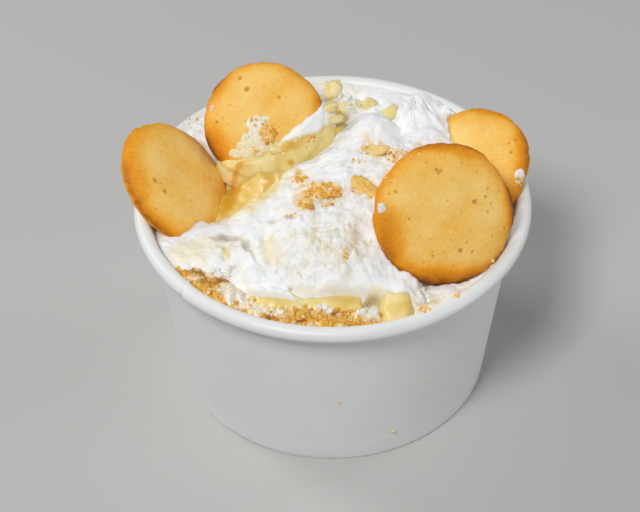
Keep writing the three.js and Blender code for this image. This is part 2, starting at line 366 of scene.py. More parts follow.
def squeezed(x, y, z):
    """Points of a layer's top, drawn in so that the outermost lie along the wall."""
    squeeze = food_radius(z) / food_radius(CUP_HEIGHT)
    return np.stack([x * squeeze, y * squeeze, z], axis=-1)


def grid_edge(steps):
    """Numbers of the points round the edge of a square grid, and each one's next."""
    index = np.arange(steps * steps).reshape(steps, steps)
    edge = np.concatenate([index[:-1, 0], index[-1, :-1], index[:0:-1, -1], index[0, :0:-1]])
    return edge, np.roll(edge, -1)


def layer_piece(name, top, floor_height, material, tints):
    """Closed solid of a layer: its top, a side straight down from its edge and a flat floor."""
    steps = top.shape[0]
    edge, next_edge = grid_edge(steps)
    foot = top.reshape(-1, 3)[edge].copy()
    foot[:, :2] *= (food_radius(floor_height) / np.hypot(foot[:, 0], foot[:, 1]))[:, None]
    foot[:, 2] = floor_height
    points = np.vstack([top.reshape(-1, 3), foot, [[0, 0, floor_height]]])
    below = steps * steps + np.arange(len(edge))
    next_below = np.roll(below, -1)
    top_faces = grid_faces(steps, steps)
    side = np.stack([edge, below, next_below, next_edge], axis=-1)
    bottom = np.stack([below, np.full(len(edge), len(points) - 1), next_below], axis=-1)
    return make_piece(name, points, [top_faces, side, bottom], material, tints, len(top_faces))


def spot(u, v, middle, reach, turn=0.0, steep=2.0):
    """Soft round patch on the photograph, 1 in its middle: exp(-(distance / reach) ^ (2 steep)).
    Its middle and its two reaches are in pixels, and it is turned by some degrees."""
    cosine, sine = math.cos(math.radians(turn)), math.sin(math.radians(turn))
    du, dv = u - middle[0], v - middle[1]
    along, across = (du * cosine + dv * sine) / reach[0], (dv * cosine - du * sine) / reach[1]
    return np.exp(-(along ** 2 + across ** 2) ** steep)


def spots(u, v, patches):
    """The strongest of several named patches at each place."""
    return np.max([patch[3] * spot(u, v, *patch[:3]) for patch in patches.values()], axis=0)


# Wet crumb: amber grains with dark browned ones among them, glistening with custard.
CRUMB_GRAIN = 1.6  # millimetres
wet_crumb, tree = new_material("custard_soaked_wafer_crumb")
place = add_node(tree, "TexCoord", output="Object")
cell = add_node(tree, "TexVoronoi", {"Vector": place, "Scale": 1 / (CRUMB_GRAIN * MM)}, "Color")
browned, mixed_in = (
    add_node(tree, "TexNoise", {"Vector": place, "Scale": 1 / (size * MM), **SOFT_NOISE})
    for size in (4.0, 4.5)
)
wet_and_painted_shade, creamed = (
    add_node(tree, "Attribute", output="Fac", attribute_name=name) for name in ("wet_and_painted_shade", "creamed")
)
creamed = add_node(tree, "Math", {0: creamed, 1: 0.35, 2: mixed_in}, operation="MULTIPLY_ADD")
# The third coat, #a3742c, is darker brown: wet crumb with painted shade at the left, and painted shade in the
# hollow by the custard's block.
crumb_tone = "#d6932a"
for share, tone in (
    (add_node(tree, "SeparateColor", {"Color": cell}), "#efc35e"),
    (add_node(tree, "MapRange", {0: browned, 1: 0.55, 2: 0.66}), "#a8691c"),
    (wet_and_painted_shade, "#a3742c"),
    (add_node(tree, "MapRange", {0: creamed, 1: 0.56, 2: 0.72}), "#f3e6cb"),
):
    crumb_tone = add_node(tree, "Mix", {0: share, 6: crumb_tone, 7: tone}, 2, data_type="RGBA")
grainy = {"Height": cell.node.outputs["Distance"], "Strength": 0.6, "Distance": 0.0004, "Filter Width": 0.1}
wet = add_node(tree, "BsdfPrincipled", {
    "Base Color": crumb_tone, "Roughness": 0.24, "Normal": add_node(tree, "Bump", grainy),
    "Subsurface Weight": 0.2, "Subsurface Radius": (1.0, 0.8, 0.4), "Subsurface Scale": 0.0015,
})
add_node(tree, "OutputMaterial", {"Surface": wet})

flat_x, flat_y = disc_grid(300)
crumb_top = heaped(flat_x, flat_y, CRUMB_LEVEL, CRUMB_RIDGES)
grit = 0.9 * np.abs(noise(flat_x, flat_y, 3.1, 21)) + 0.8 * np.abs(noise(flat_x, flat_y, 1.5, 22))
crumb_top = crumb_top + grit - 0.5
u, v, _ = in_photo(flat_x, flat_y, crumb_top)
crumb_points = squeezed(flat_x, flat_y, crumb_top)
tints = {"creamed": spots(u, v, CREAMED), "wet_and_painted_shade": spots(u, v, CRUMB_WET_AND_PAINTED_SHADE)}
crumb_layer = layer_piece("soaked_crumb_layer", crumb_points, CRUMB_FLOOR, wet_crumb, tints)
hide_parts("crumb_layer")

# ---- custard ----
# Set vanilla custard, spooned over the crumbs: smooth and glossy with rounded, sagging edges. It
# shows at the front under the cream, down the left as a stream, and in bits at the back.
CUSTARD_LEVEL = 51
CUSTARD_FLOOR = 43
CUSTARD_RIDGES = {
    "middle": ((2, -28, 57.5), (8, 18, 57), 27, 4),
    "stream": ((4, 42, 60.4), (-15, 20, 58.4), 14, 4),
    "stream_end": ((-13, 20, 60.5), (-28, 3, 56), 9, 3),
    "back_lap": ((0, 28, 66.5), (-18, 12, 62), 8, 3),
    "front_ledge": ((-19, -36.5, 57.8), (12, -40, 58.3), 7, 5),
    "front_block": ((17.5, -40, 60.6), (17.5, -48, 59.6), 5.5, 5),
}
FRONT_HOLLOW, HOLLOW_DEPTH = ((371, 303), (9, 9), -25), 2.6
# Paler places, where cream was worked in: middle, reach, turn, strength.
MILKY = {
    "back": ((345, 104), (22, 10), 0, 0.9),
    "block_top": ((396, 300), (10, 5), 0, 0.6),
    "block_front": ((398, 312), (12, 8), 0, 0.4),
    "ledge": ((300, 306), (44, 5), 0, 0.3),
    "by_left_wafer": ((232, 170), (7, 8), 0, 0.6),
}
# Deeper yellow, where the custard lies thick and bare; beside the left wafer it is painted shade, a dark gold
# crevice along the wafer's edge.
DEEP_YELLOW_AND_PAINTED_SHADE = {
    "stream": ((264, 180), (34, 16), -38, 0.25),
    # painted shade: the dark crevice along the left wafer's edge
    "by_left_wafer": ((229, 197), (7, 26), 28, 1.0),
}


def wandering(x, y, seed):
    """The same places shifted a little by noise, so that a ridge drawn there has a ragged edge."""
    waves = (1.2, 7), (0.5, 2.7)
    return x + bumps(x, y, seed, *waves), y + bumps(x, y, seed + 2, *waves)


# Set custard: egg yellow, translucent for a few millimetres, with a wet gloss.
custard_gel, tree = new_material("set_vanilla_custard")
place = add_node(tree, "TexCoord", output="Object")
yolky, ripple = (
    add_node(tree, "TexNoise", {"Vector": place, "Scale": 1 / (size * MM), **SOFT_NOISE})
    for size in (5.0, 1.6)
)
milky, deep_yellow_and_shade = (
    add_node(tree, "Attribute", output="Fac", attribute_name=name) for name in ("milky", "deep_yellow_and_shade")
)
yolky = add_node(tree, "MapRange", {0: yolky, 1: 0.35, 2: 0.7})
# The last coat is deeper yellow where the custard is thick, and painted shade in the crevice beside the left
# wafer.
custard_tone = "#eed27a"
for share, tone in ((yolky, "#deb64e"), (milky, "#f7e5a8"), (deep_yellow_and_shade, "#dda526")):
    custard_tone = add_node(tree, "Mix", {0: share, 6: custard_tone, 7: tone}, 2, data_type="RGBA")
gel = add_node(tree, "BsdfPrincipled", {
    "Base Color": custard_tone, "Roughness": 0.30, "Specular IOR Level": 0.4,
    "Normal": add_node(tree, "Bump", {"Height": ripple, "Strength": 0.25, "Distance": 0.0005}),
    "Subsurface Weight": 0.35, "Subsurface Radius": (1.0, 0.8, 0.4), "Subsurface Scale": 0.003,
})
add_node(tree, "OutputMaterial", {"Surface": gel})

custard_top = heaped(*wandering(flat_x, flat_y, 41), CUSTARD_LEVEL, CUSTARD_RIDGES)
custard_top = custard_top + bumps(flat_x, flat_y, 45, (0.35, 5.5), (0.16, 2.2))
u, v, _ = in_photo(flat_x, flat_y, custard_top)
custard_top = custard_top - HOLLOW_DEPTH * spot(u, v, *FRONT_HOLLOW)
milkiness = np.clip(0.3 + 0.5 * noise(flat_x, flat_y, 6, 47) + spots(u, v, MILKY), 0, 1)
custard_points = squeezed(flat_x, flat_y, custard_top)
tints = {"milky": milkiness, "deep_yellow_and_shade": spots(u, v, DEEP_YELLOW_AND_PAINTED_SHADE)}
custard = layer_piece("vanilla_custard_layer", custard_points, CUSTARD_FLOOR, custard_gel, tints)
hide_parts("custard")

# ---- vanilla wafers ----
# Four round drop biscuits, baked on a sheet: flat pale underside, rounded heel, low domed top.
# Batter spreads as it bakes, so the outline wavers, the top is browned at the edge where it is
# thinnest, and gas leaves open pores. They are pushed in at a slant, faces to the cup's middle.
WAFER_THICKNESS = 7.0
WAFER_BELLY = 2.2  # widest ring above the flat underside
WAFER_HEEL = 2.2  # how much narrower the flat underside is
WAFER_DOME_POWER = 3.226  # the dome's height falls as the square root of 1 - (r / R) ^ power
WAFER_SKIN = 0.2  # the mesh starts this far inside, and its noise brings it back out
WAFER_ROUND = 384
UNDER_RINGS, HEEL_RINGS, DOME_RINGS = 12, 16, 132
MIDDLE_HOLE = 0.6  # radius of the innermost ring of the underside
EDGE_WIDTH = 2.5  # of the uneven rim
BULGE = 0.25  # the rim stands out by this at most
PORE_DEPTH = 0.55
CHIP_DEPTH, CHIP_HEIGHT = 0.022, 2.5  # share of the radius, and reach up and down
SIGHT_ROUNDS = 4  # times that a line of sight is brought closer to the dome
WAFERS = {
    "wafer_left": {"radius": 20.0, "centre": (-45.2, 6.3, 61.6), "face": (0.682, -0.151, 0.715)},
    "wafer_back": {"radius": 17.9, "centre": (-19.9, 26.3, 68.6), "face": (-0.068, -0.608, 0.791)},
    "wafer_front": {"radius": 20.2, "centre": (30.7, -19.6, 71.7), "face": (0.193, -0.795, 0.575)},
    "wafer_right": {"radius": 19.9, "centre": (39.5, 12.2, 60.7), "face": (-0.491, -0.325, 0.808)},
}
# Browned places, as patches on the photograph: middle, reach, turn, strength. Some are partly painted shade:
# rounded edges that turn away from the light (the left wafer's right edge, the back wafer's right tip) and
# the front wafer's lower part and left dent.
BROWNED_AND_SHADED = {
    "wafer_left": {
        "left_edge": ((132, 200), (16, 62), 8, 0.40),
        "lower_left": ((152, 232), (30, 16), 35, 0.55),
        "right_edge": ((219, 202), (9, 28), 20, 0.65),
    },
    "wafer_back": {
        "top_left_edge": ((212, 85), (14, 24), 35, 0.55),
        "lower_left": ((216, 148), (20, 22), 20, 0.85),
        "right_tip": ((320, 106), (10, 14), 0, 0.4),
    },
    "wafer_front": {
        "left_dent": ((393, 238), (14, 32), -12, 0.95),
        "bottom": ((440, 284), (62, 20), 0, 0.95),
        "lower_left": ((405, 268), (22, 16), 40, 0.6),
        "top_rim": ((452, 147), (60, 5), 0, 0.5),
        "top_right": ((466, 151), (22, 7), 8, 0.35),
        "right_rim": ((514, 200), (9, 45), -8, 0.85),
    },
    "wafer_right": {
        "right_edge": ((524, 150), (9, 45), 0, 0.4),
        "top_edge": ((485, 110), (40, 5), 10, 0.35),
    },
}
# Open pores: column and row of the photograph, and radius in millimetres.
PORES = {
    "wafer_left": [
        (156, 180, 0.75), (166, 191, 0.7), (150, 213, 0.3), (146, 168, 0.2), (184, 172, 0.2),
        (176, 205, 0.25), (190, 190, 0.2),
    ],
    "wafer_back": [
        (240, 78, 0.55), (247, 89, 0.75), (279, 97, 0.45), (217, 122, 0.45), (262, 92, 0.2),
        (230, 105, 0.25), (292, 84, 0.2),
    ],
    "wafer_front": [
        (396, 192, 0.45), (389, 194, 0.35), (409, 219, 0.3), (401, 216, 0.25), (475, 202, 0.7),
        (486, 197, 0.45), (488, 189, 0.35), (499, 191, 0.3), (491, 203, 0.3), (488, 212, 0.35),
        (505, 228, 0.35), (493, 236, 0.3), (461, 251, 0.65), (473, 252, 0.4), (433, 256, 0.35),
        (433, 252, 0.25), (424, 263, 0.3), (453, 266, 0.25), (467, 243, 0.3), (427, 163, 0.35),
        (462, 163, 0.3), (477, 172, 0.35), (410, 268, 0.3), (437, 170, 0.5), (441, 171, 0.45),
        (439, 173, 0.45), (430, 240, 0.25), (425, 200, 0.2), (448, 201, 0.25), (472, 230, 0.2),
    ],
    "wafer_right": [
        (516, 140, 0.45), (511, 152, 0.45), (509, 143, 0.35), (480, 120, 0.2), (492, 160, 0.25),
        (470, 135, 0.2),
    ],
}
# Places where a cooled edge has crumbled or torn: column and row, and reach in millimetres.
CHIPS = {
    "wafer_left": [(121, 160, 1.2), (125, 172, 1.4), (131, 195, 1.3), (126, 183, 0.8), (137, 206, 0.9)],
    "wafer_back": [(211, 96, 1.1), (209, 110, 1.0), (226, 79, 0.8)],
    "wafer_front": [(379, 206, 1.6), (380, 212, 1.0)],
    "wafer_right": [(523, 150, 0.9), (519, 175, 1.0)],
}


def wafer_axes(wafer):
    """Two directions in a wafer's plane and the one it faces, as rows."""
    face = np.array(wafer["face"]) / np.linalg.norm(wafer["face"])
    side = np.cross([0, 0, 1], face)
    side /= np.linalg.norm(side)
    return np.stack([side, np.cross(face, side), face])


def dome(wafer, reach):
    """Height of a wafer's top over its widest ring, at a distance from its middle."""
    rise = WAFER_THICKNESS - WAFER_BELLY
    return rise * np.sqrt(np.clip(1 - (reach / wafer["radius"]) ** WAFER_DOME_POWER, 0, 1))


def on_wafer(wafer, columns, rows):
    """Where pixels of the photograph meet a wafer's top, in its own plane: the line of sight is
    followed to the plane through the shoulder of its dome, and then a few times at the height
    found there."""
    right, up, back = (np.array(axis) for axis in (view_right, view_up, view_back))
    across = (np.asarray(columns, dtype=float) - PHOTO_WIDTH / 2) / FOCAL_PIXELS
    down = (np.asarray(rows, dtype=float) - PHOTO_HEIGHT / 2) / FOCAL_PIXELS
    sight = -back + across[:, None] * right - down[:, None] * up
    eye, centre, axes = np.array(view_place), np.array(wafer["centre"]), wafer_axes(wafer)
    height = np.full(len(across), dome(wafer, 0.7 * wafer["radius"]))
    for _ in range(SIGHT_ROUNDS):
        distance = ((centre - eye) @ axes[2] + height) / (sight @ axes[2])
        local = (eye + sight * distance[:, None] - centre) @ axes.T
        height = dome(wafer, np.hypot(local[:, 0], local[:, 1]))
    return local[:, 0], local[:, 1]


def set_tones(ramp, tones):
    """Gives a colour ramp its tones, each at its position from 0 to 1."""
    while len(ramp.elements) < len(tones):
        ramp.elements.new(0.5)
    for element, (position, tone) in zip(ramp.elements, tones.items()):
        element.position, element.color = position, linear(tone)


# Baked biscuit: matt, golden where it is thick, brown and then near black at the thin edge, with
# a fine crackle and dark pinholes about 2 mm apart.
CRUST_TONES = {
    0.0: "#fed680", 0.22: "#fbc35a", 0.45: "#f2a628", 0.66: "#e38f0a", 0.84: "#c0730b", 1.0: "#80490c",
}
PINHOLE_SPACING = 1.7  # millimetres
biscuit, tree = new_material("baked_vanilla_wafer")
place = add_node(tree, "TexCoord", output="Object")
bake_and_shade, pit = (add_node(tree, "Attribute", output="Fac", attribute_name=name) for name in ("bake_and_shade", "pit"))
for size, share in ((7.0, 0.08), (1.1, 0.06)):
    uneven = add_node(tree, "TexNoise", {"Vector": place, "Scale": 1 / (size * MM), **SOFT_NOISE})
    uneven = add_node(tree, "MapRange", {0: uneven, 1: 0.3, 2: 0.7, 3: -share, 4: share})
    bake_and_shade = add_node(tree, "Math", {0: bake_and_shade, 1: uneven}, operation="ADD")
# The crust ramp also carries the painted shade from the browned patches that stand for shade.
crust = add_node(tree, "ValToRGB", {"Fac": bake_and_shade})
set_tones(crust.node.color_ramp, CRUST_TONES)
hole = add_node(tree, "TexVoronoi", {"Vector": place, "Scale": 1 / (PINHOLE_SPACING * MM)}, "Color")
hole_reach = add_node(tree, "SeparateColor", {"Color": hole})
hole_reach = add_node(tree, "MapRange", {0: hole_reach, 1: 0.3, 2: 1.0, 4: 0.12})
pinhole = {0: hole.node.outputs["Distance"], 1: hole_reach}
pinhole = add_node(tree, "Math", pinhole, operation="SUBTRACT")
pinhole = add_node(tree, "MapRange", {0: pinhole, 1: 0.0, 2: 0.05, 3: 1.0, 4: 0.0})
for opening, share, tone in ((pinhole, 0.55, "#b06a14"), (pit, 0.6, "#9a6420")):
    opening = add_node(tree, "Math", {0: opening, 1: share}, operation="MULTIPLY")
    crust = add_node(tree, "Mix", {0: opening, 6: crust, 7: tone}, 2, data_type="RGBA")
crackle = {"Vector": place, "Scale": 1 / (0.7 * MM), "Detail": 4, "Roughness": 0.7}
fine = add_node(tree, "TexNoise", {"Vector": place, "Scale": 1 / (0.28 * MM), **SOFT_NOISE})
crackle = {0: fine, 1: 0.5, 2: add_node(tree, "TexNoise", crackle)}
crackle = add_node(tree, "Math", crackle, operation="MULTIPLY_ADD")
crackle = add_node(tree, "Math", {0: crackle, 1: pinhole}, operation="SUBTRACT")
baked = add_node(tree, "BsdfPrincipled", {
    "Base Color": crust, "Roughness": 0.66, "Specular IOR Level": 0.3,
    "Normal": add_node(tree, "Bump", {"Height": crackle, "Strength": 0.35, "Distance": 0.0003}),
    "Subsurface Weight": 0.12, "Subsurface Radius": (1.0, 0.7, 0.3), "Subsurface Scale": 0.0015,
})
add_node(tree, "OutputMaterial", {"Surface": baked})


def closed_faces(rows, columns):
    """Faces of a turned skin with a single point at each end of its rows, added after the grid."""
    around = np.arange(columns)
    after = (around + 1) % columns
    first = np.stack([around, after, np.full(columns, rows * columns)], axis=-1)
    last_row = (rows - 1) * columns
    last = [last_row + after, last_row + around, np.full(columns, rows * columns + 1)]
    return [grid_faces(rows, columns, close_columns=True)[:, ::-1], first, np.stack(last, axis=-1)]


def wafer_skin(wafer, seed):
    """Grid of a wafer's skin in its own frame, from the middle of its underside out round the
    heel and in over the dome: distance out, angle and height, then its outline and its top made
    uneven with noise, the edge more coarsely than the middle."""
    radius = wafer["radius"] - WAFER_SKIN
    foot = radius - WAFER_HEEL
    heel = np.linspace(-math.pi / 2, 0, HEEL_RINGS, endpoint=False)
    inward = 1 - np.linspace(0, 1, DOME_RINGS)[:-1] ** 1.9
    under = np.linspace(MIDDLE_HOLE, foot, UNDER_RINGS, endpoint=False)
    reach = np.concatenate([under, foot + WAFER_HEEL * np.cos(heel) ** 0.8, radius * inward])
    over = dome(wafer, wafer["radius"] * inward)
    rise = [np.full(UNDER_RINGS, -WAFER_BELLY), WAFER_BELLY * np.sin(heel), over]
    angle, reach = np.meshgrid(np.linspace(0, FULL_TURN, WAFER_ROUND, endpoint=False), reach)
    rise = np.broadcast_to(np.concatenate(rise)[:, None], reach.shape)
    p, q = reach * np.cos(angle), reach * np.sin(angle)
    coarse, fine = 0.55 * noise(p, q, 11, seed), bumps(p + rise, q - rise, seed + 1, (0.20, 2.4), (0.13, 1.0))
    outward = np.exp(-((radius - reach) / EDGE_WIDTH) ** 2) * (coarse + fine)
    lift = bumps(p, q, seed + 3, (0.22, 8), (0.08, 2.6), (0.035, 0.9))
    out = 1 + np.minimum(outward, BULGE) / np.maximum(reach, 1)
    return p * out, q * out, rise + lift * np.where(rise > -0.5 * WAFER_BELLY, 1, 0.25)


wafer_points = []
for number, (name, wafer) in enumerate(WAFERS.items()):
    p, q, rise = wafer_skin(wafer, 60 + 10 * number)
    radius, axes = wafer["radius"], wafer_axes(wafer)
    reach = np.hypot(p, q)
    top = rise > 0.3
    pit = np.zeros_like(p)
    columns, rows, sizes = np.array(PORES[name]).T
    for at_p, at_q, size in zip(*on_wafer(wafer, columns, rows), sizes):
        distance = np.hypot(p - at_p, q - at_q) / size
        pit = np.maximum(pit, np.exp(-distance ** 4) * top * min(1, 0.4 + size))
    rise = rise - PORE_DEPTH * pit
    columns, rows, sizes = np.array(CHIPS[name]).T
    for at_p, at_q, size in zip(*on_wafer(wafer, columns, rows), sizes):
        out = radius / math.hypot(at_p, at_q)
        distance = np.hypot(p - at_p * out, q - at_q * out) / size
        bite = 1 - CHIP_DEPTH * np.exp(-distance ** 2 - (rise / CHIP_HEIGHT) ** 2)
        p, q = p * bite, q * bite
    points = np.stack([p, q, rise], axis=-1) @ axes + np.array(wafer["centre"])
    u, v, _ = in_photo(*np.moveaxis(points, -1, 0))
    # Baked darker toward the edge and in its browned places, some of which are partly painted shade, and
    # evenly underneath.
    edge = np.clip((reach / radius - 0.62) / 0.38, 0, 1)
    bake_and_shade = 0.12 + 0.33 * edge ** 1.6 + 0.15 * edge ** 9 + 0.08 * noise(p, q, 9, 90 + number)
    bake_and_shade = bake_and_shade + 0.6 * spots(u, v, BROWNED_AND_SHADED[name]) * (0.35 + 0.65 * edge)
    under = np.clip(-rise / 0.8, 0, 1)
    bake_and_shade = bake_and_shade * (1 - under) + under * (0.50 + 0.12 * noise(p, q, 6, 95 + number))
    summit = dome(wafer, 0.0) + rise[-1].mean() - dome(wafer, reach[-1].mean())
    ends = np.array([[0, 0, -WAFER_BELLY], [0, 0, summit]]) @ axes + np.array(wafer["centre"])
    points = np.vstack([points.reshape(-1, 3), ends])
    wafer_points.append(points)
    tints = {"bake_and_shade": np.append(bake_and_shade, [0.5, bake_and_shade[-1].mean()]), "pit": np.append(pit, [0, 0])}
    biscuit_piece = make_piece("baked_" + name, points, closed_faces(*p.shape), biscuit, tints)
    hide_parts(name)

# ---- whipped cream ----
# Sweet cream whipped to soft peaks, dropped on in one spoonful: a mound from the back right to
# the front, drawn out in strokes, pulled up to a peak where the spoon left, smeared thin over
# the custard at the front left, and pressed into the gaps between the wafers and the wall.
CREAM_LEVEL = 49.5
CREAM_FLOOR = 48
CREAM_RIDGES = {
    "mound": ((20, 20, 70), (2, -17, 69), 25, 4),
    "left_flank": ((-4, 8, 64), (-20, -8, 62), 13, 4),
    "front_lip": ((-20, -29, 60.5), (17, -34, 62.5), 8.5, 4),
    "peak": ((19, 33, 70), (29, 29, 71), 13, 3),
    "behind_wafer": ((22, -8, 69), (37, -13, 66), 12, 3),
    "right_shelf": ((46, 14, 57), (45, -25, 57.8), 12, 4),
    "front_right": ((45, -25, 57.8), (25, -41, 57.0), 8, 4),
    "left_front": ((-14, -17, 61.5), (-45, -15, 58.4), 14, 4),
    "left_back": ((-45, 21, 62.6), (-28, 42, 63.4), 10, 4),
    "back_run_left": ((-26, 47, 61.4), (4, 52, 61.2), 6, 4),
    "back_run_right": ((4, 52, 61.2), (36, 40, 61), 7, 4),
    "right_back": ((36, 40, 61), (47, 22, 60), 9, 4),
}
STROKE = (-0.437, -0.899)  # direction in which the spoon drew the mound out
BRUSHED = ((340, 158), (50, 20), -12)  # fine strokes across, above the crumbs
PEAK = (25.0, 35.0)
LUMP = (12.0, 21.5)  # smooth round lump beside the peak, with a groove round its right side
LUMP_REACH = (6.0, 6.5)
# Round forms, seen from above: middle, reach, steepness, height in millimetres.
ROUND_FORMS = {
    "tip_of_peak": (PEAK, (3.0, 3.0), 1, 1.1),
    "shoulder_of_peak": ((30.0, 35.0), (5.0, 2.0), 1, 0.8),
    "hollow_beside_peak": ((32.0, 31.0), (3.6, 3.0), 1, -3.2),
    "lump": (LUMP, LUMP_REACH, 2, 2.8),
}
# Patches on the photograph: middle, reach, turn, strength. Yellow, where custard shows through.
YELLOWED = {
    "left_front_streak": ((224, 252), (4, 9), 10, 0.85),
    "left_front_pool": ((269, 247), (10, 14), -15, 0.6),
    "small_pool": ((293, 235), (7, 4), 0, 0.5),
    "left_sheet": ((190, 252), (30, 13), -12, 0.45),
    "lip_corner": ((376, 292), (9, 6), -30, 0.6),
    "under_left_edge": ((261, 193), (38, 11), -38, 0.85),
    "above_ledge": ((318, 291), (46, 5), -2, 0.4),
    "stream_cover": ((300, 148), (34, 7), -22, 0.6),
    "pool_groove": ((256, 252), (4, 12), -20, 0.35),
    "back_run": ((345, 90), (28, 5), 0, 0.35),
}
# Beige, where crumb soaked in.
BEIGE = {
    "middle": ((335, 248), (44, 32), 0, 1.0),
    "middle_left": ((300, 262), (30, 18), 0, 0.8),
    "dust_by_front_wafer": ((408, 154), (20, 6), -38, 1.2),
    "dust_by_wafer_left": ((388, 174), (5, 15), 18, 0.9),
    "crumbed_middle": ((322, 192), (34, 14), 15, 0.85),
    "crumbed_top": ((375, 155), (26, 10), 25, 0.4),
    "left_hollows": ((228, 243), (26, 6), 0, 0.8),
    "front_right_bits": ((432, 302), (22, 8), -10, 0.9),
    # front_hollow: soaked crumb in the hollow right of the ledge, laid on strongly as painted shade there
    # too.
    "front_hollow": ((371, 303), (9, 7), -20, 1.2),
}
# Golden, where dry crumb lies as dust.
GOLDEN = {
    "middle": ((325, 191), (19, 9), 15, 1.0),
    "middle_low": ((304, 201), (11, 10), 0, 0.9),
    "left_tail": ((298, 178), (9, 7), 40, 0.8),
    "flat_piece": ((364, 188), (16, 12), 25, 0.9),
    "top_piece": ((374, 149), (16, 9), 20, 0.8),
    "top_right": ((393, 156), (10, 6), -20, 0.9),
    "front_bit": ((345, 254), (8, 6), 0, 0.8),
    "stream_specks": ((310, 141), (16, 6), -25, 0.6),
    "front_right": ((428, 303), (14, 6), -15, 0.6),
    # front_hollow: crumb in the hollow right of the ledge, laid on strongly as painted shade there too.
    "front_hollow": ((370, 302), (8, 6), -20, 1.2),
}
# Crevices cut into the cream and darkened with painted shade (the shaded tint, #a08a66): middle, reach, turn,
# strength.
CREVICES = {
    "left_hollow": ((226, 238), (17, 3.0), 0, 1.0),
    "left_hollow_end": ((246, 245), (4, 7), 0, 0.9),
    "slit": ((289, 216), (7, 1.8), 0, 1.0),
    "slit_left": ((272, 220), (4, 3), 0, 0.6),
    "bubble": ((290, 289), (3.2, 3.0), 0, 1.0),
    "between_wafers": ((207, 151), (16, 4), 50, 1.0),
    "front_hollow": ((371, 302), (9, 7), -20, 1.3),
}
CREVICE_DEPTH = 1.3
# Grooves a millimetre deep, in which custard lies on the cream's left.
GROOVES = {
    "pool": ((269, 248), (7, 14), -15, 1.0),
    "beside_pool": ((254, 251), (3.5, 13), -22, 1.0),
    "streak": ((224, 252), (3.5, 9), 10, 1.0),
}
SOAKED_MIDDLE = ((318, 250), (70, 42), 0, 1.5)
FLECKED = ((285, 225), (75, 42), -15)  # small flecks of custard on the left of the mound
# The front lip leaves the custard's ledge bare, and runs down over the crumbs beside it.
LIP_CUT_BACK, CUT_DEPTH = ((345, 297), (21, 9), -8, 1.5), 4.0
LIP_RUN_DOWN, RUN_HEIGHT = ((272, 301), (38, 14), 6, 2.0), 10.9
MOUND_FOOT, MOUND_RISE = 62, 5  # the strokes fade in over this rise, from this height
THIN_BELOW, THIN_RISE = 61, 4  # the cream is thin below this height, over this fall
CRUMBED = {name: BEIGE[name] for name in ("crumbed_middle", "crumbed_top", "dust_by_front_wafer")}

# Whipped cream: dairy white and matt, with light going some millimetres deep; thin smears let
# the custard's yellow through, and places are dusted or soaked with beige crumb.
CREAM_NOISES = {
    # size in millimetres, detail, roughness, the values it rises between, and how far
    "patchy": (3.2, 4, 0.6, 0.35, 0.62, 1.0),
    "warm": (6.0, 3, 0.55, 0.4, 0.7, 0.4),
    "sandy": (1.2, 3, 0.55, 0.4, 0.65, 1.0),
    "crumbly": (1.5, 4, 0.65, 0.38, 0.58, 1.0),
}
cream_foam, tree = new_material("whipped_dairy_cream")
place = add_node(tree, "TexCoord", output="Object")
film, dusted, golden, shaded = (
    add_node(tree, "Attribute", output="Fac", attribute_name=name)
    for name in ("film", "dusted", "golden", "shaded")
)
uneven = []
for size, detail, roughness, low, high, top in CREAM_NOISES.values():
    wave = {"Vector": place, "Scale": 1 / (size * MM), "Detail": detail, "Roughness": roughness}
    uneven.append(add_node(tree, "MapRange", {0: add_node(tree, "TexNoise", wave), 1: low, 2: high, 4: top}))
patchy, warm, sandy, crumbly = uneven
yellow = "#f2e6ae"
for low, high, tone in ((0.45, 0.8, "#f0d67c"), (0.85, 1.0, "#dba840")):
    thick = add_node(tree, "MapRange", {0: film, 1: low, 2: high})
    yellow = add_node(tree, "Mix", {0: thick, 6: yellow, 7: tone}, 2, data_type="RGBA")
beige = add_node(tree, "Mix", {0: sandy, 6: "#efe7d3", 7: "#dcc796"}, 2, data_type="RGBA")
cream_tone = add_node(tree, "Mix", {0: warm, 6: "#f8fbff", 7: "#f7f4e8"}, 2, data_type="RGBA")
in_film, in_dust = (add_node(tree, "MapRange", {0: patchy, 3: least}) for least in (0.75, 0.35))
for cover, part, tone in (
    (film, in_film, yellow), (dusted, in_dust, beige), (golden, crumbly, "#ecc66c"), (shaded, 1.0, "#a08a66"),
):
    share = add_node(tree, "Math", {0: cover, 1: part}, operation="MULTIPLY")
    cream_tone = add_node(tree, "Mix", {0: share, 6: cream_tone, 7: tone}, 2, data_type="RGBA")
fluff = {"Vector": place, "Scale": 1 / (1.4 * MM), "Detail": 4, "Roughness": 0.6}
fine = add_node(tree, "TexNoise", {"Vector": place, "Scale": 1 / (0.45 * MM), **SOFT_NOISE})
fluff = {0: fine, 1: 0.35, 2: add_node(tree, "TexNoise", fluff)}
fluff = add_node(tree, "Math", fluff, operation="MULTIPLY_ADD")
whipped = add_node(tree, "BsdfPrincipled", {
    "Base Color": cream_tone,
    "Roughness": add_node(tree, "MapRange", {0: dusted, 3: 0.5, 4: 0.28}),
    "Normal": add_node(tree, "Bump", {"Height": fluff, "Strength": 0.6, "Distance": 0.0006}),
    "Subsurface Weight": 0.15, "Subsurface Radius": (1.0, 0.9, 0.75), "Subsurface Scale": 0.0012,
})
add_node(tree, "OutputMaterial", {"Surface": whipped})

flat_x, flat_y = disc_grid(298)
cream_top = heaped(*wandering(flat_x, flat_y, 111), CREAM_LEVEL, CREAM_RIDGES)
u, v, _ = in_photo(flat_x, flat_y, cream_top)

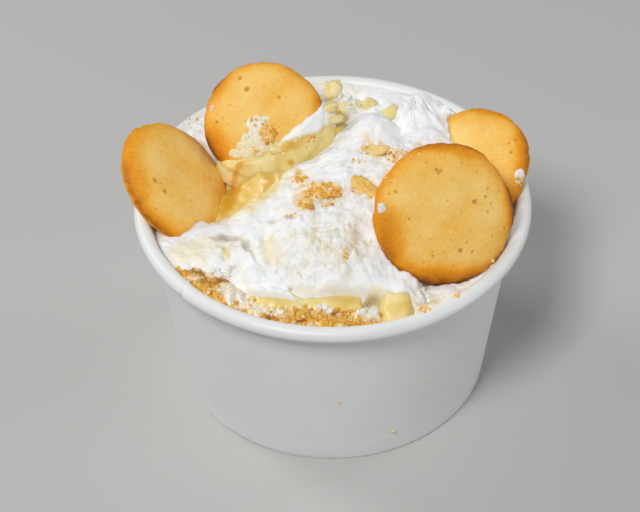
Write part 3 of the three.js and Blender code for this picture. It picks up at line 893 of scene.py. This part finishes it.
# Strokes: noise drawn out three- and fourfold along the spoon's path, strongest on the mound.
across = flat_x * STROKE[1] - flat_y * STROKE[0]
along = flat_x * STROKE[0] + flat_y * STROKE[1]
strokes = 0.60 * noise(across, along / 3, 5.0, 121) + bumps(across, along / 4, 122, (0.28, 2.2), (0.09, 0.9))
relief = np.clip((cream_top - MOUND_FOOT) / MOUND_RISE, 0, 1) * strokes
relief += bumps(flat_x, flat_y, 124, (0.75, 7.5), (0.42, 3.4), (0.19, 1.5), (0.08, 0.9))
relief += spot(u, v, *BRUSHED) * bumps(flat_x / 6, flat_y, 128, (0.35, 1.6), (0.22, 0.9))

# Peak: folds run down from its tip like a fan, and the tip itself is drawn up.
from_peak = np.hypot(flat_x - PEAK[0], flat_y - PEAK[1])
around_peak = np.arctan2(flat_y - PEAK[1], flat_x - PEAK[0])
folds = 1.3 * noise(around_peak * 4, from_peak * 0.10, 1.0, 131)
folds += 0.55 * noise(around_peak * 12, from_peak * 0.12, 1.0, 132)
fan = np.clip(from_peak / 3, 0, 1) * np.exp(-(from_peak / 14) ** 4) * (np.sin(around_peak) < 0.35)
relief += fan * folds
for middle, reach, steep, height in ROUND_FORMS.values():
    relief += height * spot(flat_x, flat_y, middle, reach, 0, steep)
from_lump = np.hypot((flat_x - LUMP[0]) / LUMP_REACH[0], (flat_y - LUMP[1]) / LUMP_REACH[1])
right_side = np.clip((flat_x - LUMP[0] - 1) / 3, 0, 1)
relief -= 2.2 * np.exp(-((from_lump - 1.35) / 0.28) ** 2) * right_side

# Soaked middle: the surface breaks up into small wet lumps, and so it does finer under the dry
# crumbs. Crevices and grooves are cut in.
lumpy = np.abs(noise(flat_x, flat_y, 3.6, 141)) + 0.45 * np.abs(noise(flat_x, flat_y, 1.7, 142)) - 0.45
relief += spot(u, v, *SOAKED_MIDDLE) * lumpy
grit = 0.5 * np.abs(noise(flat_x, flat_y, 1.3, 143)) + 0.3 * np.abs(noise(flat_x, flat_y, 0.8, 144))
relief += spots(u, v, CRUMBED) * grit
crevice = spots(u + 2 * noise(flat_x, flat_y, 3, 145), v + 2 * noise(flat_x, flat_y, 3, 146), CREVICES)
relief -= CREVICE_DEPTH * crevice + spots(u, v, GROOVES)
cream_top = cream_top + relief * np.clip((cream_top - CREAM_LEVEL) / 3, 0, 1)
cream_top = cream_top - CUT_DEPTH * spot(u, v, *LIP_CUT_BACK)
run_down = CREAM_LEVEL + RUN_HEIGHT * spot(u, v, *LIP_RUN_DOWN) + 0.4 * noise(flat_x, flat_y, 2.5, 147)
cream_top = np.maximum(cream_top, run_down)

# Where the cream passes under a wafer it stays under the wafer's middle.
for wafer in WAFERS.values():
    axes, centre = wafer_axes(wafer), np.array(wafer["centre"])
    p, q, rise = np.moveaxis((squeezed(flat_x, flat_y, cream_top) - centre) @ axes.T, -1, 0)
    reach = np.hypot(p, q)
    between_faces = (rise < dome(wafer, reach) + 0.6) & (rise > -WAFER_BELLY - 3)
    inside = (reach < wafer["radius"] - 0.4) & between_faces
    cream_top = np.where(inside, cream_top - np.clip(rise + 0.4, 0, 6) / axes[2, 2], cream_top)

ragged_u, ragged_v = u + 5 * noise(flat_x, flat_y, 4, 153), v + 5 * noise(flat_x, flat_y, 4, 154)
thin = np.clip((THIN_BELOW - cream_top) / THIN_RISE, 0, 1)
thin = thin * np.clip(0.5 + noise(flat_x, flat_y, 5, 151), 0, 1)
flecks = 0.9 * np.clip(noise(flat_x, flat_y, 2.4, 155) - 0.25, 0, 0.7) * spot(u, v, *FLECKED)
dust = spots(ragged_u, ragged_v, BEIGE) * np.clip(0.75 + 0.8 * noise(flat_x, flat_y, 3.5, 152), 0, 1.2)
cream_points = squeezed(flat_x, flat_y, cream_top)
tints = {
    "film": np.clip(np.maximum(spots(ragged_u, ragged_v, YELLOWED) + 0.3 * thin, flecks), 0, 1),
    "dusted": np.clip(dust, 0, 1),
    "golden": spots(ragged_u, ragged_v, GOLDEN),
    "shaded": 0.6 * np.clip(crevice, 0, 1),
}
cream = layer_piece("whipped_cream_mound", cream_points, CREAM_FLOOR, cream_foam, tints)
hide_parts("whipped_cream")

# ---- smears on the wafers ----
# Where a wafer was pushed in, cream and custard were dragged up over its face and stayed there
# as a film a millimetre or two thick, with the crumbs that stuck to it.
SMEAR_STEPS = 150
SMEAR_SINK, SMEAR_UNDER = 0.9, 1.6  # how far under the dome its bare edge and its lower skin lie
SMEAR_LIFT = 0.4  # the step at a smear's edge
SMEAR_INSET = 0.6  # a thin smear stays this far inside the wafer's edge
SMEAR_DROOP = 1.1  # how steeply it hangs down past the edge
# The back wafer's lower right is buried: above this line of pixels it is bare.
BURIED_LINE = [
    (200, 172), (222, 161), (240, 158), (262, 153), (276, 148), (282, 138), (300, 123), (311, 115),
    (318, 109), (322, 102), (330, 98),
]
# Patches on the photograph: middle, reach, turn, strength.
BACK_SMEAR = {
    "upper": ((258, 122), (16, 8), -12, 1.0),
    "middle": ((256, 136), (15, 18), 10, 1.1),
    "crumbed": ((268, 139), (12, 15), 0, 1.0),
    "run": ((245, 143), (9, 18), 18, 1.0),
    "foot": ((250, 152), (24, 8), -8, 1.0),
}
GOLD_STREAKS = {
    "by_crumbs": ((287, 149), (16, 5), -22, 0.7),
    "drop": ((240, 166), (4, 5), 0, 0.9),
    "below_drop": ((235, 178), (3, 13), 22, 0.8),
    "small_drop": ((291, 164), (4, 3), 0, 0.9),
    "upper": ((318, 131), (18, 4), -30, 0.3),
}
PALE_PLACES = {
    "lobe": ((227, 176), (6, 12), 10, 0.7),
    "middle": ((262, 168), (20, 9), -25, 0.4),
    "upper": ((322, 122), (20, 10), -35, 0.5),
}
CRUMBED_PATCH, CRUST_PATCH = ((268, 134), (12, 14)), ((269, 136), (9, 13))
FILM_PATCH = ((250, 150), (26, 14), -8)
RIGHT_SMEAR = ((518, 176), (4, 7), 0, 1.5)
RIGHT_DUST, RIGHT_CRUST = ((518, 181), (7, 6)), ((517, 184), (6, 5))


def smear(name, wafer, middle, half_width, overhang, thickness, material, tints):
    """Closed sheet lying on a wafer's top: on a square grid in the wafer's plane its upper skin is
    the dome plus the thickness at that place, and its lower skin is under the dome. `thickness`
    and `tints` are functions of the photograph's column and row and of the grid's own p and q.
    Where it is thick it hangs over the wafer's edge by `overhang`, and elsewhere it stays inside."""
    (at_p,), (at_q,) = on_wafer(wafer, [middle[0]], [middle[1]])
    span = np.linspace(-half_width, half_width, SMEAR_STEPS)
    p, q = np.meshgrid(at_p + span, at_q + span, indexing="ij")
    reach = np.hypot(p, q)
    axes, centre = wafer_axes(wafer), np.array(wafer["centre"])
    seat = np.stack([p, q, dome(wafer, reach)], axis=-1) @ axes + centre
    u, v, _ = in_photo(*np.moveaxis(seat, -1, 0))
    covered = thickness(u, v, p, q)
    limit = wafer["radius"] - SMEAR_INSET + overhang * np.clip(covered, 0, 1)
    drawn_in = np.minimum(1, limit / reach)
    p, q, reach = p * drawn_in, q * drawn_in, reach * drawn_in
    skin = dome(wafer, reach) - SMEAR_DROOP * np.clip(reach - wafer["radius"], 0, None)
    covered = covered + SMEAR_LIFT * np.clip(covered / 0.2, 0, 1)
    upper = np.stack([p, q, skin - SMEAR_SINK + covered], axis=-1) @ axes + centre
    lower = np.stack([p, q, skin - SMEAR_UNDER], axis=-1) @ axes + centre
    below = SMEAR_STEPS * SMEAR_STEPS
    edge, after = grid_edge(SMEAR_STEPS)
    sides = np.stack([edge, edge + below, after + below, after], axis=-1)
    faces = grid_faces(SMEAR_STEPS, SMEAR_STEPS)
    points = np.vstack([upper.reshape(-1, 3), lower.reshape(-1, 3)])
    colours = {tint: np.tile(values.reshape(-1), 2) for tint, values in tints(u, v, p, q).items()}
    piece = make_piece(name, points, [faces, faces[:, ::-1] + below, sides], material, colours)
    return piece, upper


def below_line(u, v):
    """How far a pixel lies below the line, and how wide the white band along the line is there."""
    return v - np.interp(u, *np.array(BURIED_LINE, dtype=float).T), 0.52 * np.clip(u - 270, 0, 52) - 3


def back_custard(u, v, p, q):
    """Custard about 2 mm thick from the line downward, thinner at the left."""
    below, _ = below_line(u, v)
    depth = 2.0 + 0.8 * noise(p, q, 5, 207) + 0.2 * noise(p, q, 1.8, 203)
    depth = depth * np.clip((u - 205) / 30, 0.35, 1)
    return np.clip((below + 1.2 * noise(p, q, 3.5, 206)) / 9, 0, 1) ** 0.7 * depth


def back_custard_tints(u, v, p, q):
    """Pale places in the custard, and golden streaks at the smear's foot."""
    pale = 0.45 + spots(u, v, PALE_PLACES) + 0.3 * noise(p, q, 4, 205)
    streaks = spots(u + 1.5 * noise(p, q, 2, 213), v + 1.5 * noise(p, q, 2, 214), GOLD_STREAKS)
    return {"milky": np.clip(pale, 0, 1), "deep_yellow_and_shade": streaks}


def back_cream(u, v, p, q):
    """Cream 1 mm thick in the smear's patches, ragged at the edge, and over the custard as a
    band along the line."""
    ragged_u = u + 2.4 * noise(p, q, 3.2, 201) + 0.9 * noise(p, q, 1.1, 208)
    ragged_v = v + 2.4 * noise(p, q, 3.2, 202) + 0.9 * noise(p, q, 1.1, 209)
    patch = 0.7 * np.clip(1.5 * spots(ragged_u, ragged_v, BACK_SMEAR) - 0.45, 0, 1)
    below, band = below_line(ragged_u, ragged_v)
    on_custard = back_custard(u, v, p, q) + 0.5 - 1.4 * np.clip((below - band) / 6, 0, 1)
    lumpy = 1 + bumps(p, q, 203, (0.45, 1.8), (0.2, 0.9))
    return np.maximum(patch * lumpy, np.where(below > 0, on_custard, 0))


def back_cream_tints(u, v, p, q):
    """A film of custard at the left, dust under the crumbs, and the biscuit's gold where it shows
    through at the smear's thin edges and under its crumbs."""
    below, _ = below_line(u, v)
    film = 0.1 + 0.4 * (below < 3) * (u < 285) + 0.15 * noise(p, q, 3, 215) + 0.2 * spot(u, v, *FILM_PATCH)
    thin = np.clip(1 - back_cream(u, v, p, q) / 0.55, 0, 1) * (below < 0)
    golden = np.maximum(0.9 * thin, 0.7 * spot(u, v, *CRUST_PATCH))
    return {"film": film, "dusted": 0.8 * spot(u, v, *CRUMBED_PATCH), "golden": golden}


def right_cream(u, v, p, q):
    """Cream under 1 mm thick in one small ragged patch."""
    ragged_u, ragged_v = u + 2 * noise(p, q, 1.5, 211), v + 2 * noise(p, q, 1.5, 212)
    return 0.8 * spot(ragged_u, ragged_v, *RIGHT_SMEAR) + 0.1 * noise(p, q, 1, 213)


def right_cream_tints(u, v, p, q):
    """Hardly any film, and crumb at the lower end."""
    dust, crust = spot(u, v, *RIGHT_DUST), spot(u, v, *RIGHT_CRUST)
    return {"film": np.full(p.shape, 0.1), "dusted": dust, "golden": 0.7 * crust}


back_run, back_run_points = smear(
    "custard_run_on_back_wafer", WAFERS["wafer_back"], (268, 140), 19.0, 4.0,
    back_custard, custard_gel, back_custard_tints,
)

back_smear, back_smear_points = smear(
    "cream_smear_on_back_wafer", WAFERS["wafer_back"], (268, 140), 19.0, 4.0,
    back_cream, cream_foam, back_cream_tints,
)

right_smear, right_smear_points = smear(
    "cream_smear_on_right_wafer", WAFERS["wafer_right"], (518, 178), 5.0, 0.0,
    right_cream, cream_foam, right_cream_tints,
)

# ---- loose crumbs and bits ----
# A broken wafer was crumbled over the top: dry golden grains and a few flat pieces on the cream,
# wetter ones round the front. Small bits of cream and custard lie among them.
CELL = 2  # pixels
SINK = 0.45  # share of a crumb's radius by which it sinks into the food
PHASES = 6.28  # a whole wave
WAVE_SPREAD = 2.2  # how finely the waves swell a lump
TILT = 0.1  # how far a piece with a given turn still leans
surfaces = [
    cup_points, crumb_points, custard_points, cream_points, *wafer_points,
    back_run_points, back_smear_points, right_smear_points,
]
food_points = np.vstack([surface.reshape(-1, 3) for surface in surfaces])
cells_across = PHOTO_WIDTH // CELL
u, v, depth = in_photo(*food_points.T)
cell = (v // CELL).astype(int) * cells_across + (u // CELL).astype(int)
by_depth = np.lexsort((depth, cell))
filled_cells, nearest = np.unique(cell[by_depth], return_index=True)
front_most = np.full(cells_across * (PHOTO_HEIGHT // CELL), -1)
front_most[filled_cells] = by_depth[nearest]


def found_at(columns, rows):
    """Point of the food nearest to the eye in each pixel's cell, and whether there is one."""
    found = front_most[(rows // CELL).astype(int) * cells_across + (columns // CELL).astype(int)]
    return food_points[found], found >= 0


def scattered(patches, seed):
    """Places on the food for each named patch of the photograph: middle, reach, count, smallest
    and largest radius. Each goes to the point nearest to the eye in its cell of pixels, and one
    whose cell holds no point is left out."""
    chance = np.random.default_rng(seed)
    places, radii = [], []
    for middle, reach, count, smallest, largest in patches.values():
        distance, angle = np.sqrt(chance.random(count)), chance.random(count) * FULL_TURN
        columns = middle[0] + reach[0] * distance * np.cos(angle)
        rows = middle[1] + reach[1] * distance * np.sin(angle)
        found, on_food = found_at(columns, rows)
        size = smallest + (largest - smallest) * chance.random(count) ** 2
        places.append((found - [0, 0, SINK] * size[:, None])[on_food])
        radii.append(size[on_food])
    return np.vstack(places), np.concatenate(radii)


def stretched(radii, least, most, seed):
    """Half sizes of lumps: each radius, longer or shorter by chance in each of three directions."""
    return radii[:, None] * np.random.default_rng(seed).uniform(least, most, (len(radii), 3))


def placed(pieces):
    """Places, half sizes and turns of pieces that are each set on a pixel of the photograph."""
    pixels, half_sizes, turns = (np.array(values, dtype=float) for values in zip(*pieces.values()))
    places, _ = found_at(*pixels.T)
    return places - half_sizes * [0, 0, 0.5], half_sizes, turns


def powered(values, power):
    """Values raised to a power, with their signs kept."""
    return np.sign(values) * np.abs(values) ** power


def lumps(name, places, half_sizes, grid, seed, material, roughness, square=1.0, turns=None, broken=False):
    """Many small closed lumps in one piece: a sphere on a grid of two angles, its cosines and
    sines raised to the power `square`, pushed in and out by three sine waves of random
    direction, drawn out to its half sizes, set on its place and turned: at random, or by the
    degrees given, about the vertical. A broken lump has flat faces."""
    chance = np.random.default_rng(seed)
    count = len(places)
    rise = np.linspace(-math.pi / 2, math.pi / 2, grid[0] + 2)[1:-1]
    rise, turn = np.meshgrid(rise, np.linspace(0, FULL_TURN, grid[1], endpoint=False), indexing="ij")
    out, up = powered(np.cos(rise), square), powered(np.sin(rise), square)
    ball = [out * powered(np.cos(turn), square), out * powered(np.sin(turn), square), up]
    ball = np.vstack([np.stack(ball, axis=-1).reshape(-1, 3), [[0, 0, -1], [0, 0, 1]]])
    waves = chance.normal(0, WAVE_SPREAD, (count, 3, 3))
    waves = np.einsum("pk,nwk->nwp", ball, waves) + chance.random((count, 3, 1)) * PHASES
    swell = 1 + roughness * np.sin(waves).mean(axis=1)
    swell = swell + roughness * 0.5 * chance.normal(0, 0.35, swell.shape)
    shaped = ball[None] * swell[..., None] * half_sizes[:, None, :]
    spin = chance.normal(size=(count, 4))
    if turns is not None:
        half = np.radians(turns)[:, None] / 2
        spin = spin * [0, TILT, TILT, 0] + np.cos(half) * [1, 0, 0, 0] + np.sin(half) * [0, 0, 0, 1]
    w, i, j, k = (spin / np.linalg.norm(spin, axis=1, keepdims=True)).T
    turned = np.array([
        [1 - 2 * (j * j + k * k), 2 * (i * j - k * w), 2 * (i * k + j * w)],
        [2 * (i * j + k * w), 1 - 2 * (i * i + k * k), 2 * (j * k - i * w)],
        [2 * (i * k - j * w), 2 * (j * k + i * w), 1 - 2 * (i * i + j * j)],
    ])
    points = np.einsum("ijn,npj->npi", turned, shaped) + places[:, None, :]
    start = (np.arange(count) * len(ball))[:, None, None]
    faces = [(part[None] + start).reshape(-1, part.shape[1]) for part in closed_faces(*grid)]
    tone = np.repeat(chance.random(count), len(ball))
    tints = {"tone": tone, "milky": 0.5 + 0.5 * tone, "dusted": 0.8 * tone, "film": 0.3 * tone}
    return make_piece(name, points, faces, material, tints, 0 if broken else None)


# Broken biscuit: each grain is golden, orange or brown, with a torn, open face.
CRUMB_TONES = {0.0: "#f8dc94", 0.35: "#f2c666", 0.7: "#e9b044", 1.0: "#d39330"}
broken_biscuit, tree = new_material("broken_vanilla_wafer")
place = add_node(tree, "TexCoord", output="Object")
uneven, torn = (
    add_node(tree, "TexNoise", {"Vector": place, "Scale": 1 / (size * MM), **SOFT_NOISE})
    for size in (0.8, 0.35)
)
uneven = add_node(tree, "MapRange", {0: uneven, 1: 0.3, 2: 0.7, 3: -0.25, 4: 0.25})
tone = add_node(tree, "Attribute", output="Fac", attribute_name="tone")
tone = add_node(tree, "Math", {0: tone, 1: uneven}, operation="ADD")
crumb_tone = add_node(tree, "ValToRGB", {"Fac": tone})
set_tones(crumb_tone.node.color_ramp, CRUMB_TONES)
open_crumb = add_node(tree, "BsdfPrincipled", {
    "Base Color": crumb_tone, "Roughness": 0.55,
    "Normal": add_node(tree, "Bump", {"Height": torn, "Strength": 0.5, "Distance": 0.0002}),
})
add_node(tree, "OutputMaterial", {"Surface": open_crumb})

# Middle, reach, count, and smallest and largest radius in millimetres.
DRY_CRUMBS = {
    "left_tail": ((299, 178), (8, 7), 12, 0.4, 1.0),
    "middle": ((325, 190), (17, 8), 110, 0.3, 1.1),
    "middle_low": ((304, 201), (10, 9), 50, 0.3, 1.1),
    "under_middle": ((327, 204), (6, 2.5), 9, 0.3, 0.7),
    "top_right": ((391, 157), (7, 4), 12, 0.35, 0.9),
    "top_left": ((357, 160), (6, 4), 9, 0.35, 0.8),
    "round_top_piece": ((373, 149), (14, 9), 16, 0.25, 0.6),
    "round_flat_piece": ((364, 188), (14, 11), 14, 0.25, 0.6),
    "stream_specks": ((310, 141), (12, 7), 12, 0.25, 0.55),
    "front_bit": ((345, 254), (5, 4), 7, 0.35, 0.7),
    "slit_bits": ((290, 215), (7, 2), 8, 0.25, 0.5),
    "dust_by_wafer": ((406, 155), (15, 6), 60, 0.15, 0.4),
    "dust_by_wafer_low": ((388, 172), (5, 12), 20, 0.15, 0.4),
    "on_back_wafer": ((269, 133), (9, 11), 46, 0.35, 0.85),
    "by_back_smear": ((258, 121), (9, 5), 10, 0.3, 0.6),
    "back_smear_foot": ((256, 149), (4, 4), 6, 0.3, 0.7),
    "on_right_wafer": ((518, 182), (5, 5), 16, 0.2, 0.5),
    "left_back_specks": ((190, 124), (12, 12), 9, 0.2, 0.45),
    "fine_on_mound": ((345, 195), (52, 50), 36, 0.15, 0.3),
    "front_right_bits": ((424, 309), (6, 4), 12, 0.35, 0.9),
    "front_wafer_foot": ((457, 295), (2, 1.5), 2, 0.6, 0.9),
    "right_wall": ((493, 261), (1, 1), 1, 0.5, 0.6),
    "peak_speck": ((416, 100), (1, 1), 1, 0.35, 0.4),
}
places, radii = scattered(DRY_CRUMBS, 301)
half_sizes = stretched(radii, 0.65, 1.25, 302)
dry_crumbs = lumps("dry_wafer_crumbs", places, half_sizes, (5, 8), 303, broken_biscuit, 0.5, broken=True)

# Larger bits, each on its own pixel: column and row, half sizes in millimetres, degrees of turn.
FLAT_PIECES = {
    "big": ((365, 187), (4.4, 2.4, 1.1), -38),
    "beside_big": ((358, 182), (1.8, 1.3, 0.8), 10),
    "top": ((377, 149), (2.7, 2.3, 1.2), -20),
    "beside_top": ((366, 146), (1.5, 1.1, 0.7), 20),
    "middle_right": ((337, 190), (2.0, 1.5, 0.9), 60),
    "middle_low": ((304, 202), (2.0, 1.6, 0.9), 80),
    "left_tail": ((301, 178), (1.4, 1.9, 0.8), 30),
    "in_cavity": ((336, 110), (1.8, 1.0, 0.6), 10),
}
places, half_sizes, turns = placed(FLAT_PIECES)
flat_pieces = lumps(
    "flat_wafer_pieces", places, half_sizes, (18, 32), 312, broken_biscuit, 0.45, 0.8, turns
)

# Wet crumbs lie only where the crumb layer itself comes to light.
WET_CRUMBS = {
    "front": ((330, 315), (68, 14), 120, 0.4, 1.2),
    "left_front": ((203, 284), (24, 16), 38, 0.4, 1.1),
    "left_front_low": ((235, 303), (22, 12), 14, 0.4, 0.9),
}
NEAR_CRUMBS = 1.8  # millimetres
places, radii = scattered(WET_CRUMBS, 321)
crumb_surface = heaped(places[:, 0], places[:, 1], CRUMB_LEVEL, CRUMB_RIDGES)
on_crumbs = np.abs(places[:, 2] - crumb_surface) < NEAR_CRUMBS
half_sizes = stretched(radii[on_crumbs], 0.65, 1.3, 320)
wet_crumbs = lumps(
    "wet_wafer_crumbs", places[on_crumbs], half_sizes, (5, 8), 322, wet_crumb, 0.5, broken=True
)

CREAM_BITS = {
    "front_chunk": ((370, 312), (13, 4), 9, 1.0, 2.1),
    "front_right": ((424, 294), (11, 5), 12, 0.6, 1.5),
    "front_specks": ((322, 308), (9, 4), 6, 0.6, 1.3),
    "left_front_specks": ((230, 297), (16, 7), 10, 0.5, 1.4),
    "left_hollow_lumps": ((222, 270), (12, 6), 12, 0.6, 1.5),
    "back_lumps": ((346, 99), (14, 5), 12, 0.8, 1.9),
    "lap_streaks": ((351, 111), (9, 8), 20, 0.5, 1.3),
    "wafer_notch": ((381, 208), (3.5, 5), 16, 0.35, 0.9),
    "back_wafer_edge": ((211, 104), (2, 7), 5, 0.2, 0.45),
}
places, radii = scattered(CREAM_BITS, 331)
half_sizes = stretched(radii, 0.7, 1.3, 332)
cream_bits = lumps("bits_of_cream", places, half_sizes, (10, 16), 333, cream_foam, 0.4)

CUSTARD_BITS = {
    "back_blob": ((330, 87), (3.6, 3.0, 2.2), 60),
    "back_block": ((368, 103), (2.0, 1.4, 3.0), 0),
    "back_wedge": ((389, 111), (4.0, 1.8, 1.6), 35),
    "cavity_ring": ((327, 106), (3.2, 1.2, 1.3), 25),
    "cavity_ring_low": ((331, 116), (3.8, 1.1, 1.2), 5),
    "back_left_bit": ((276, 149), (2.0, 1.3, 1.1), 0),
}
places, half_sizes, turns = placed(CUSTARD_BITS)
custard_bits = lumps("bits_of_custard", places, half_sizes, (22, 36), 342, custard_gel, 0.4, 0.7, turns)

# Specks that fell on the cup's wall: bits of crumb and a dab of custard.
WALL_CRUMBS = {
    "left_of_middle": ((340, 404), (1, 1), 1, 0.5, 0.6),
    "right": ((430, 379), (1, 1), 1, 0.35, 0.45),
}
places, radii = scattered(WALL_CRUMBS, 351)
half_sizes = stretched(radii, 0.6, 1.2, 352)
wall_crumbs = lumps("crumbs_on_cup_wall", places, half_sizes, (6, 10), 353, broken_biscuit, 0.4, broken=True)

WALL_DABS = {
    "cream": ((300, 400), (1, 1), 1, 0.4, 0.5),
    "custard": ((393, 431), (1, 1), 1, 0.6, 0.7),
}
DAB_STRETCH = np.array([1.3, 0.7, 0.9])
places, radii = scattered(WALL_DABS, 361)
half_sizes, upright = radii[:, None] * DAB_STRETCH, np.zeros(len(radii))
wall_dabs = lumps("dabs_on_cup_wall", places, half_sizes, (10, 16), 362, custard_gel, 0.3, turns=upright)
